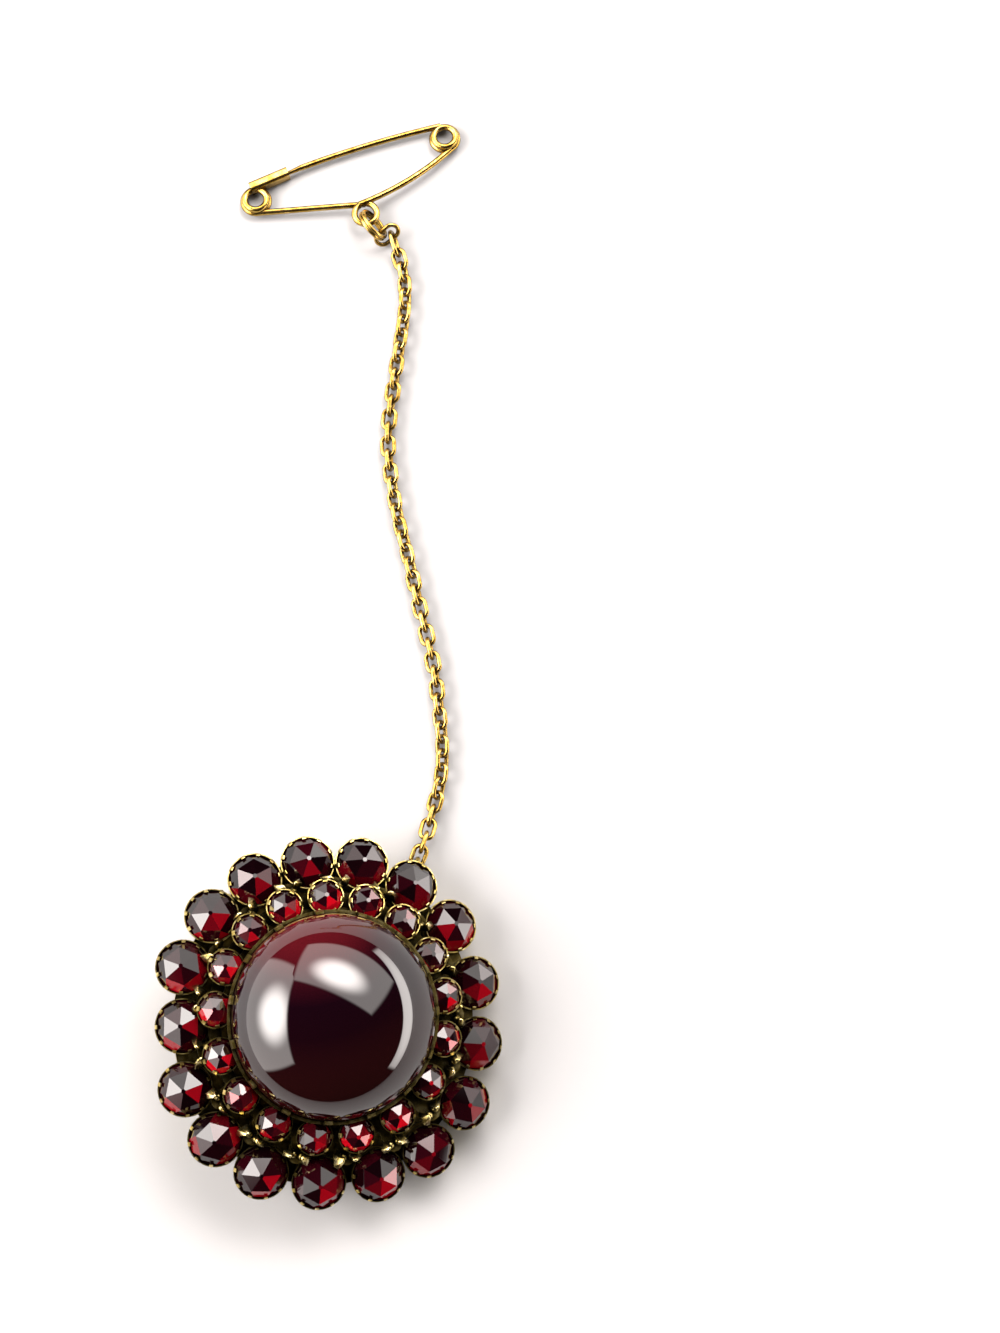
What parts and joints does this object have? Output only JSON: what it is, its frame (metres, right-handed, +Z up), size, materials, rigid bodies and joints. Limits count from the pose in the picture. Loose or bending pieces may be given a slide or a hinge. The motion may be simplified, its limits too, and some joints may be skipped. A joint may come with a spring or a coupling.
{
  "type": "garnet cluster brooch",
  "caption": "Round garnet cluster brooch: a large domed cabochon in two rings of small rose-cut stones in gilt cups, with a safety chain that ends in a small safety pin.",
  "frame": {"origin": "on the table, under the middle of the box round the whole brooch with its chain laid out", "axes": "+Z up from the table, +Y from the head along the chain to the safety pin, +X to the right as seen from above"},
  "size_m": [0.0252, 0.0836, 0.0132],
  "materials": {
    "cabochon_garnet": "polished, almost black wine red",
    "outer_garnet": "polished facets, deep red",
    "inner_garnet": "polished facets, deep red",
    "old_gilt": "worn gilt with dark recesses",
    "yellow_gilt": "smooth bright gilt wire"
  },
  "bodies": {
    "root": {"cabochon": "cabochon_garnet", "outer_garnet_01": "outer_garnet", "outer_garnet_02": "outer_garnet", "outer_garnet_03": "outer_garnet", "outer_garnet_04": "outer_garnet", "outer_garnet_05": "outer_garnet", "outer_garnet_06": "outer_garnet", "outer_garnet_07": "outer_garnet", "outer_garnet_08": "outer_garnet", "outer_garnet_09": "outer_garnet", "outer_garnet_10": "outer_garnet", "outer_garnet_11": "outer_garnet", "outer_garnet_12": "outer_garnet", "outer_garnet_13": "outer_garnet", "outer_garnet_14": "outer_garnet", "outer_garnet_15": "outer_garnet", "outer_garnet_16": "outer_garnet", "outer_garnet_17": "outer_garnet", "inner_garnet_01": "inner_garnet", "inner_garnet_02": "inner_garnet", "inner_garnet_03": "inner_garnet", "inner_garnet_04": "inner_garnet", "inner_garnet_05": "inner_garnet", "inner_garnet_06": "inner_garnet", "inner_garnet_07": "inner_garnet", "inner_garnet_08": "inner_garnet", "inner_garnet_09": "inner_garnet", "inner_garnet_10": "inner_garnet", "inner_garnet_11": "inner_garnet", "inner_garnet_12": "inner_garnet", "inner_garnet_13": "inner_garnet", "inner_garnet_14": "inner_garnet", "inner_garnet_15": "inner_garnet", "inner_garnet_16": "inner_garnet", "inner_garnet_17": "inner_garnet", "setting": "old_gilt", "brooch_pin": "old_gilt", "chain": "yellow_gilt", "jump_ring": "yellow_gilt", "safety_pin": "yellow_gilt"}
  },
  "joints": []
}
